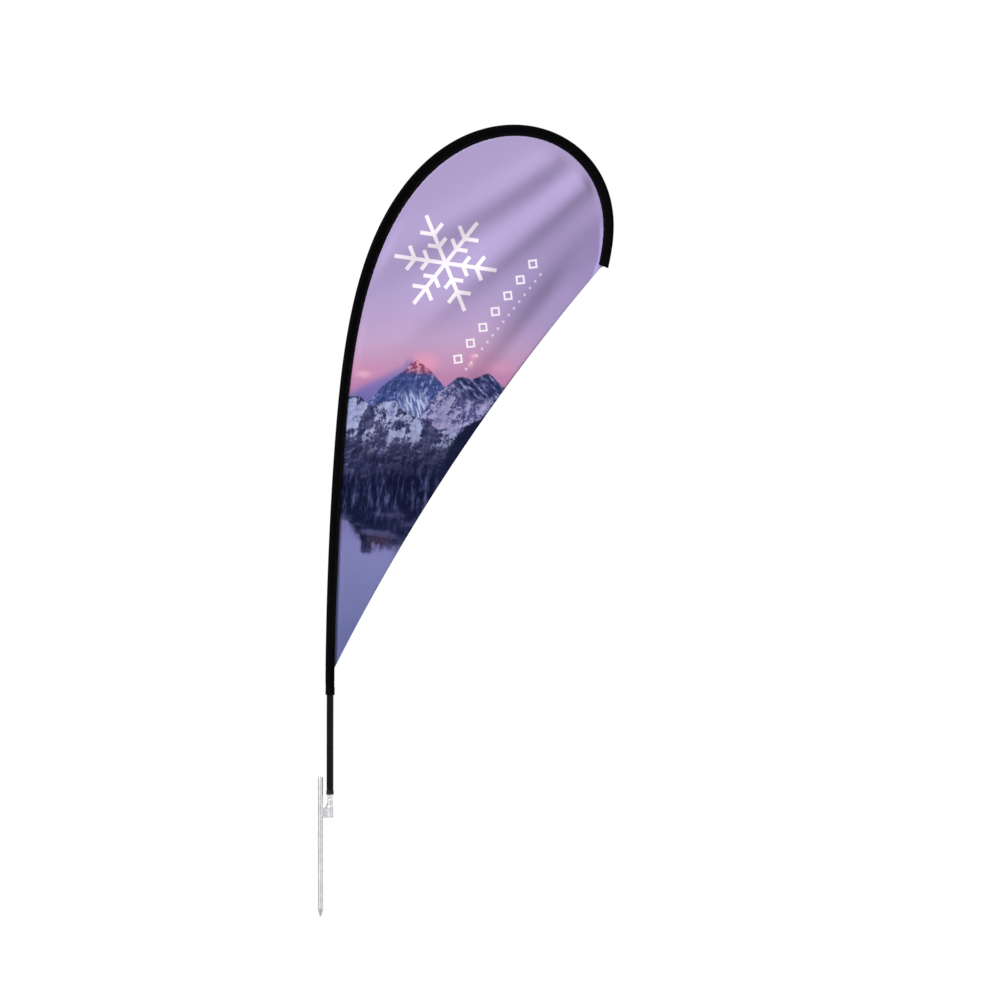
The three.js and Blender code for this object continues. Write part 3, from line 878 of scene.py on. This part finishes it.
def make_panel():
    front, back = printed_cloth("print_front", 0.0), printed_cloth("print_back", 0.30)
    t, v = np.meshgrid(np.linspace(0, 1, PANEL_ROWS), np.linspace(0, 1, PANEL_COLUMNS), indexing="ij")
    points = panel_points(t, v).reshape(-1, 3)
    faces = grid_faces(PANEL_ROWS, PANEL_COLUMNS)
    panel = add_piece("printed_panel", points, faces, FLAG_BODY, front, "print_cloth", ["flag_panel"])
    face_front(panel)
    solidify(panel, CLOTH_THICKNESS, second=back)
    hem = make_hem(back)
    rows = [
        hem_stitches("hem_stitches_outer", 0.0035, front),
        hem_stitches("hem_stitches_inner", HEM_WIDTH - 0.0025, front),
    ]
    return panel, hem, rows, area_of(points, faces)


def edge_line(inset, lift, count):
    """A line just inside the free edge, lifted off the panel's middle to the back."""
    t = np.linspace(0.004, 0.990, count)
    p = panel_points(t, panel_v_at(t, inset))
    p[:, 1] += lift
    return p


def make_hem(cloth):
    """The free edge's turned-over hem, on the panel's back."""
    rows = [edge_line(inset, CLOTH_THICKNESS / 2 * up, HEM_ROWS) for inset, up in HEM_SECTION]
    points = np.stack(rows, axis=1).reshape(-1, 3)
    faces = grid_faces(HEM_ROWS, len(rows))
    hem = add_piece("free_edge_hem", points, faces, FLAG_BODY, cloth, "print_cloth", sharp=80)
    solidify(hem, HEM_THICKNESS, offset=1.0)
    return hem


def hem_stitches(name, inset, material):
    p = edge_line(inset, -CLOTH_THICKNESS / 2, 900)
    normals = np.tile([0.0, -1.0, 0.0], (len(p), 1))
    return stitches(name, p, normals, 4.0, 3.0, 0.22, material, "print_cloth")


SLEEVE_ROWS = 460
SIDES = ((-1, "front"), (1, "back"))
SEAM_STITCH_FROM, SEAM_STITCH_INSETS = 0.47, (0.0034, 0.0075)
CUFF_R, CUFF_STITCH_ROWS = 14.85 * MM, (0.3225, 0.3395)
BACK_STEPS, SIDE_STEPS, SEAM_STEPS = 14, 9, 5


def sleeve_outline(s):
    """n and y of the sleeve's outline at one place along the pole, all the way round."""
    back_r, back_x, seam_r, seam_x = sleeve_size(s)
    lean = math.acos(np.clip((back_r - seam_r) / max(seam_x - back_x, 1e-6), -1, 1))
    round_back = np.linspace(math.pi, lean, BACK_STEPS)
    round_seam = np.linspace(lean, 0, SEAM_STEPS)
    n = list(back_x + back_r * np.cos(round_back))
    y = list(back_r * np.sin(round_back))
    n1, y1 = seam_x + seam_r * math.cos(lean), seam_r * math.sin(lean)
    for t in np.linspace(0, 1, SIDE_STEPS + 2)[1:-1]:
        n.append(n[BACK_STEPS - 1] * (1 - t) + n1 * t)
        y.append(y[BACK_STEPS - 1] * (1 - t) + y1 * t)
    n += list(seam_x + seam_r * np.cos(round_seam))
    y += list(seam_r * np.sin(round_seam))
    n, y = np.array(n), np.array(y)
    return np.concatenate([n, n[-2:0:-1]]), np.concatenate([y, -y[-2:0:-1]])


def sleeve_ripple(s, n, y):
    """Small creases across the sleeve, strongest near the seam and where the pole bends most."""
    u = s / POLE_LENGTH
    back_r, back_x, seam_r, seam_x = sleeve_size(s)
    to_seam = np.clip((n - back_x) / np.maximum(seam_x - back_x, 1e-4), 0, 1)
    bent = ease(u, 0.35, 0.6)
    side = np.where(y > 0, 1.0, 0.6)
    cross = np.sin(s * 210 + 3 * np.sin(s * 23) + side) * np.sin(s * 61 + side * 2)
    pucker = np.sin(s * 2 * math.pi / 0.017 + 2.5 * np.sin(s * 31 + side))
    return 0.30 * MM * bent * cross * to_seam**0.5 + 0.22 * MM * pucker * to_seam**5


def make_sleeve():
    rows, flat_places = [], []
    for t in np.linspace(0, 1, SLEEVE_ROWS):
        n, y = sleeve_outline(SLEEVE_FROM + (slanted_end(0) - SLEEVE_FROM) * t)
        s = SLEEVE_FROM + (slanted_end(n) - SLEEVE_FROM) * t
        ring = np.stack([n, y], axis=1)
        out = unit(ring - np.array([(n.max() + n.min()) / 2, 0]))
        ring = ring + out * sleeve_ripple(s, n, y)[:, None]
        rows.append(POLE.place(s, ring[:, 0], ring[:, 1]))
        flat_places.append(np.stack([distance_along(ring), s, 0 * s], axis=1))
    faces = grid_faces(SLEEVE_ROWS, len(rows[0]), wrap_columns=True)
    cloth = sleeve_cloth("sleeve_cloth", (1, 1, 2), (9, 9, 11))
    points, flat_places = np.concatenate(rows), np.concatenate(flat_places)
    sleeve = add_piece(
        "cloth_sleeve", points, faces, FLAG_BODY, cloth, "sleeve_black", ["pole_sleeve"], 70, flat_places
    )
    solidify(sleeve, SLEEVE_THICKNESS, offset=-1.0)
    return sleeve, cloth


def side_normals(points, ahead, side):
    """Outward normals along a line on the sleeve's side, from the points and others just beside them."""
    normals = unit(np.cross(np.gradient(points, axis=0), ahead - points))
    return normals * np.sign(normals[:, 1] * side)[:, None]


def black_cloth(name, shape, cloth, replaces):
    return add_piece(name, *shape, FLAG_BODY, cloth, "sleeve_black", [replaces], sharp=60)


def black_stitches(name, points, normals, pitch, length, radius=0.24):
    return stitches(name, points, normals, pitch, length, radius, BLACK_THREAD, "sleeve_black")


def seam_stitches(name, side, inset):
    """One row along the sleeve's side, a given distance in from its seam edge."""
    s = np.linspace(SEAM_STITCH_FROM, POLE_LENGTH - 0.016, 1500)
    n = seam_at(s) - inset
    half = sleeve_half(s, n)
    near = 0.3 * MM
    slope = (sleeve_half(s, n + near) - sleeve_half(s, n - near)) / (2 * near)
    points = POLE.place(s, n, half * side)
    ahead = POLE.place(s, n + 1 * MM, (half + slope * MM) * side)
    return black_stitches(name, points, side_normals(points, ahead, side), 4.2, 3.2)


def tip_stitches(name, side):
    """One row across the sleeve's cut end."""
    n = np.linspace(-4.5 * MM, seam_at(POLE_LENGTH - 0.01) - 3.5 * MM, 60)
    s = slanted_end(n) - 0.0085
    half = sleeve_half(s, n) * side
    points = POLE.place(s, n, half)
    return black_stitches(name, points, side_normals(points, POLE.place(s + 1 * MM, n, half), side), 3.8, 2.9)


def make_sleeve_seams():
    rows = [
        seam_stitches(f"seam_stitches_{where}_{row + 1}", side, inset)
        for side, where in SIDES
        for row, inset in enumerate(SEAM_STITCH_INSETS)
    ]
    return rows + [tip_stitches(f"tip_stitches_{where}", side) for side, where in SIDES]


def make_cuff(cloth):
    """Folded binding round the sleeve's foot."""
    profile = [(13.0, 318.6), (13.0, 318.2), (14.5, 318.2), (14.85, 319.2), (14.8, 330.0), (14.85, 341.8)]
    profile += [(14.6, 343.0), (14.05, 343.0), (14.0, 330.0), (14.0, 319.4), (13.0, 319.2)]
    points, faces = along_pole(in_mm(rounded(profile, 0.5)), 96)
    turn = np.arctan2(points[:, 1], points[:, 0] - SWIVEL_X)
    height = points[:, 2] - POLE_FOOT_Z
    swell = 0.16 * MM * np.sin(turn * 11 + height * 300) * ease(height, 0.3195, 0.325)
    points += round_the_axis(turn) * swell[:, None]
    return black_cloth("cuff_binding", (points, faces), cloth, "sleeve_cuff")


def cuff_stitches():
    turn = np.linspace(0, 2 * math.pi, 200)
    normals = round_the_axis(turn)
    made = []
    for row, s in enumerate(CUFF_STITCH_ROWS):
        points = POLE.place(np.full_like(turn, s), CUFF_R * np.cos(turn), CUFF_R * np.sin(turn))
        made.append(black_stitches(f"cuff_stitches_{row + 1}", points, normals, 3.4, 2.6, 0.26))
    return made


def make_grip_band():
    """Hook-and-loop band round the pole's foot."""
    profile = [(11.35, 323.4), (12.1, 323.2), (12.35, 324.2), (12.3, 336.0), (12.35, 347.8), (12.1, 348.8)]
    profile = rounded([*profile, (11.35, 348.6)], 0.4) + [(11.35, 336.0)]
    cloth = sleeve_cloth("grip_cloth", (16, 16, 18), (44, 44, 48), 1.8 * MM)
    return black_cloth("grip_wrap", along_pole(in_mm(profile), 72), cloth, "grip_band")


def make_tip_pocket():
    """Closed pouch sewn inside the sleeve's end, which takes the pole's tip."""
    low, high = (POLE_LENGTH - 0.120) / MM, (POLE_LENGTH - 0.006) / MM
    outside = [(0, high), (4.5, high), (6.6, high - 1.2), (7.15, high - 4), (7.15, low + 1), (7.0, low)]
    inside = [(6.45, low), (6.45, high - 4.5), (5.9, high - 2.0), (4.2, high - 0.9), (0, high - 0.9)]
    profile = rounded(outside + inside, 0.6)
    cloth = sleeve_cloth("pocket_cloth", (8, 8, 10), (26, 26, 29))
    return black_cloth("tip_pouch", along_pole(in_mm(profile), 40), cloth, "tip_pocket")


# ---- turned metal and the pole ----
def with_rings(profile, longest):
    """Adds points along the profile's long straight runs."""
    out = [profile[0]]
    for before, after in zip(profile, profile[1:]):
        steps = max(1, math.ceil(math.dist(before, after) / longest))
        out += [tuple(np.array(before) + (np.array(after) - before) * k / steps) for k in range(1, steps + 1)]
    return out


def turned_piece(
    name, profile, rounding, ring_gap, body, material, slot, replaces, centre_x=SWIVEL_X, segments=72
):
    """A piece turned from a profile in mm, its corners rounded."""
    profile = with_rings(rounded(profile, rounding), ring_gap)
    return add_piece(name, *turned(in_mm(profile), centre_x, segments), body, material, slot, [replaces])


def make_spike(material):
    """Drawn bar with a chamfered top, forged to a blunt point."""
    low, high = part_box("spike_stake")
    radius, tip, top = high.x / MM, low.z / MM, high.z / MM
    point = [(0, tip), (1.4, tip + 0.4), (3.2, tip + 4), (radius, tip + 24)]
    end = [(radius, top - 2), (radius - 2, top), (0, top)]
    turned_piece("spike_bar", point + end, 1.2, 12, GROUND_BODY, material, "zinc_bar", "spike_stake", 0, 80)


def make_barrel(material):
    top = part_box("bearing_housing")[1].z / MM
    shape = [(7, 25), (7, 0), (10, 0), (10, 34), (8.5, 38), (8.5, top), (7, top), (7, 25.1)]
    turned_piece("barrel", shape, 0.8, 6, GROUND_BODY, material, "zinc_bracket", "bearing_housing", segments=80)


def make_spindle(material):
    """Journal with its circlip groove, collar, neck with a bead, shoulder, and the long pole pin."""
    journal = [(0, 0.6), (5, 0.6), (5, 1.5), (4.1, 1.5), (4.1, 2.9), (5, 2.9), (5, 52.2)]
    collar = [(8.5, 52.2), (8.5, 55.4), (8, 56.2), (8, 64), (8.7, 64.6), (8.7, 66.6), (8, 67.2), (8, 69.8)]
    shoulder = [(9.6, 70.6), (9.6, 73.3), (7.5, 73.3)]
    grooves = [(r, z + up) for z in (100, 158) for r, up in ((7.5, 0), (6, 0), (6, 2.4), (7.5, 2.4))]
    shape = journal + collar + shoulder + grooves + [(7.5, 182), (5, 186), (0, 186)]
    turned_piece("swivel_spindle", shape, 0.35, 6, SWIVEL_BODY, material, "turned_steel", "spindle")


def make_foot_cap(material):
    """Moulded cap over the tube's foot, with a bead round its rim."""
    rim = [(8.1, 1), (8.1, 0), (12.3, 0), (12.3, 3.4), (12.0, 4.0), (12.0, 11.2)]
    inside = [(11.3, 12.8), (11.3, 2), (8.1, 2), (8.1, 1.1)]
    shape = [(r, POLE_FOOT_Z / MM + up) for r, up in rim + inside]
    turned_piece("foot_cap", shape, 0.7, 3, FLAG_BODY, material, "cap_black", "pole_foot_cap")


def make_lower_tube(material):
    """The lowest tube in mm along the pole: straight, then tapered where the sleeve hides it."""
    foot, top, straight_to = 2.4, LOWER_TOP / MM, 340
    outside = [(mixed(s, straight_to, top, 11, 10), s) for s in np.linspace(foot, top, 90)]
    bore = [(8, s) for s in np.linspace(top, foot, 60)]
    profile = [(9.5, foot), *outside, (9, top), *bore]
    add_piece("lower_tube", *along_pole(in_mm(profile), 64), FLAG_BODY, material, "pole_black", ["lower_pole"])


# ---- welds ----
WELD_RADIUS = 1.5 * MM
WELD_STEP, WELD_DROP = 0.35 * MM, 1.7 * MM      # between the bead's rings, and between its drops
WELD_SIDES = 14


def weld_bead(name, path, normals, material):
    """A fillet of overlapping drops along a path of points on the corner, leaning along the normals."""
    run = distance_along(path)
    count = max(int(run[-1] / WELD_STEP), 8)
    at = np.linspace(0, run[-1], count)
    line = resampled(path, run, at)
    out = unit(resampled(normals, run, at))
    side = np.cross(unit(np.gradient(line, axis=0)), out)
    drop = 0.5 + 0.5 * np.cos(((at / WELD_DROP) % 1) * math.pi)
    end = np.sqrt(np.clip(np.minimum(at, run[-1] - at) / WELD_RADIUS, 0.02, 1))
    radii = WELD_RADIUS * (0.93 + 0.12 * drop) * end
    shape = closed_tube(line, out, side, radii, 0 * radii, WELD_SIDES)
    add_piece(name, *shape, GROUND_BODY, material, "zinc_bracket", sharp=70)


def make_welds(material):
    """Beads down both sides of the arm, at the bar and at the barrel, and one over the arm's top at the bar."""
    arm_low, arm_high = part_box("bracket_arm")
    half = (arm_high.y - arm_low.y) / 2
    bar_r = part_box("spike_stake")[1].x
    barrel_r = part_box("bearing_housing")[1].x - SWIVEL_X
    at_bar = math.sqrt(bar_r**2 - half**2)
    at_barrel = SWIVEL_X - math.sqrt(barrel_r**2 - half**2)
    heights = np.linspace(1.2 * MM, arm_high.z - 0.8 * MM, 20)
    for joint, x, lean in (("bar", at_bar, 0.5), ("barrel", at_barrel, -0.5)):
        for side, where in SIDES:
            path = np.stack([0 * heights + x, 0 * heights + side * half, heights], axis=1)
            normals = np.tile([lean, side, 0.0], (len(heights), 1))
            weld_bead(f"weld_{joint}_{where}", path, normals, material)
    across = np.linspace(-half + 0.6 * MM, half - 0.6 * MM, 12)
    path = np.stack([np.sqrt(bar_r**2 - across**2), across, 0 * across + arm_high.z], axis=1)
    normals = np.tile([0.5, 0.0, 1.0], (len(across), 1))
    weld_bead("weld_bar_top", path, normals, material)


# ---- the carried-over solids ----
def dress(names, material, edge):
    """Gives the solids their material and takes the sharpness off their edges."""
    for name in names:
        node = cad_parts[name]
        if not node.material_slots:
            node.data.materials.append(material)
        for slot in node.material_slots:
            slot.material = material
        weld = node.modifiers.new("weld", "WELD")
        weld.merge_threshold = 0.005 * MM
        bevel = node.modifiers.new("edges", "BEVEL")
        bevel.width = edge
        bevel.segments = 2
        bevel.limit_method = "ANGLE"
        bevel.angle_limit = math.radians(40)


# ---- studio ----
CAMERA_AT = (0.5744, -8, 1.016)
CAMERA_WIDTH, CAMERA_REACH = 3.2, 60
WORLD_FILL = 0.10
SOFTBOX_X, SOFTBOX_Y = 0.60, -0.80
# how bright the surround is in a reflection, what its right, left and soft box change, and its dim rear
GLOSS, GLOSS_RIGHT, GLOSS_LEFT, GLOSS_BOX, GLOSS_REAR = 0.96, 0.62, -0.36, 0.9, -0.5
FLOOR_SIZE = 80
FLOOR_SHADE = 0.684      # how bright the lit floor looks, for the surround below the horizon
KEY_OFF_NORMAL = math.radians(57)
KEY_LEFT, KEY_UP = 0.80, 0.60
KEY_STRENGTH, FILL_STRENGTH = 3.75, 2.2
KEY_ANGLE, FILL_ANGLE = math.radians(16), math.radians(30)
FILL_TOWARDS = (0.35, 0.75, 0.55)


def sun(name, towards, strength, angle):
    light = bpy.data.lights.new(name, "SUN")
    light.energy = strength
    light.angle = angle
    x, y, z = towards
    placed(name, light).rotation_euler = (math.atan2(math.hypot(x, y), z), 0, math.atan2(x, -y))


def make_world():
    """A plain surround, a soft box and a dim rear for reflections, and a little fill."""
    world = bpy.data.worlds.new("studio")
    bpy.context.scene.world = world
    world.use_nodes = True
    room = Room(world.node_tree)
    rays = room.node("LightPath")
    x, y, z = room.parts(room.node("TexCoord").outputs["Generated"])
    softbox = room.step(x * SOFTBOX_X + y * SOFTBOX_Y, 0.93, 0.99)
    behind, left, right = room.step(y, -0.1, 0.9), room.step(x, -0.2, -0.9), room.step(x, 0.1, 0.8)
    seen_in_gloss = GLOSS + GLOSS_RIGHT * right + GLOSS_LEFT * left + GLOSS_BOX * softbox
    seen_in_gloss = seen_in_gloss * (1 + GLOSS_REAR * behind)
    backdrop = room.lerp(1.0, FLOOR_SHADE, room.step(z, -0.01, -0.045))
    shown = room.lerp(backdrop, seen_in_gloss, rays.outputs["Is Glossy Ray"])
    shown = room.lerp(shown, WORLD_FILL, rays.outputs["Is Diffuse Ray"])
    background = world.node_tree.nodes["Background"]
    room.feed(background.inputs["Strength"], shown)
    background.inputs["Color"].default_value = (1, 1, 1, 1)


def make_floor():
    bpy.ops.mesh.primitive_plane_add(size=FLOOR_SIZE, location=(0, 0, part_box("spike_stake")[0].z))
    floor = bpy.context.object
    floor.name = "floor"
    g = Graph("floor_paper")
    paper = g.mix((198, 198, 198), (204, 204, 204), g.noise_3d(3, 2))
    floor.data.materials.append(g.finish(paper, 0.9, 0.0, 0.1))


def make_studio():
    scene = bpy.context.scene
    scene.view_settings.view_transform = "Standard"
    make_world()
    across = math.sin(KEY_OFF_NORMAL)
    sun("key", (-KEY_LEFT * across, -math.cos(KEY_OFF_NORMAL), KEY_UP * across), KEY_STRENGTH, KEY_ANGLE)
    sun("back_fill", FILL_TOWARDS, FILL_STRENGTH, FILL_ANGLE)
    make_floor()

    camera_data = bpy.data.cameras.new("camera")
    camera_data.type = "ORTHO"
    camera_data.ortho_scale = CAMERA_WIDTH
    camera_data.clip_end = CAMERA_REACH
    camera = placed("camera", camera_data)
    camera.location = CAMERA_AT
    camera.rotation_euler = (math.radians(90), 0, 0)
    scene.camera = camera


# ---- assembly ----
make_studio()

ZINC = plated_steel("zinc_plate", (223, 223, 224), (173, 175, 179))
BRACKET_ZINC = plated_steel("zinc_bracket", (224, 224, 225), (175, 177, 180))
STEEL = turned_steel("turned_steel")
SPRING_STEEL = alloy("spring_steel", (120, 122, 126), (160, 162, 166))
DARK_ALLOY = alloy("dark_alloy", (52, 53, 56), (78, 79, 83))
BARE_ALLOY = alloy("bare_alloy", (168, 170, 173), (206, 207, 209))
BLACK_THREAD = thread("black_thread", (20, 20, 22), (52, 52, 56))
POLE_TUBE = pole_tube("pole_tube")
CAP_PLASTIC = dark_plastic("cap_plastic", (5, 5, 6), (17, 17, 19), 0.42, 0.08 * MM)
RUBBER = dark_plastic("rubber", (14, 14, 15), (30, 30, 31), 0.6, 0.1 * MM)

make_spike(ZINC)
make_barrel(BRACKET_ZINC)
make_spindle(STEEL)
make_foot_cap(CAP_PLASTIC)
make_lower_tube(POLE_TUBE)
dress(["bracket_arm", "gusset"], BRACKET_ZINC, 0.7 * MM)
dress(["retaining_washer", "circlip"], SPRING_STEEL, 0.08 * MM)
dress(["upper_bush", "lower_bush"], nylon("nylon"), 0.15 * MM)
dress(["o_ring_lower", "o_ring_upper"], RUBBER, 0.05 * MM)
dress(["mid_pole", "tip_pole"], POLE_TUBE, 0.2 * MM)
dress(["tip_cap"], CAP_PLASTIC, 0.3 * MM)
dress(["lower_ferrule", "mid_ferrule"], DARK_ALLOY, 0.15 * MM)
dress(["joint_spigot"], BARE_ALLOY, 0.2 * MM)

panel, hem, hem_rows, panel_area = make_panel()
sleeve, sleeve_material = make_sleeve()
seams = make_sleeve_seams()
cuff = make_cuff(sleeve_material)
cuff_rows = cuff_stitches()
grip = make_grip_band()
pouch = make_tip_pocket()
make_welds(BRACKET_ZINC)
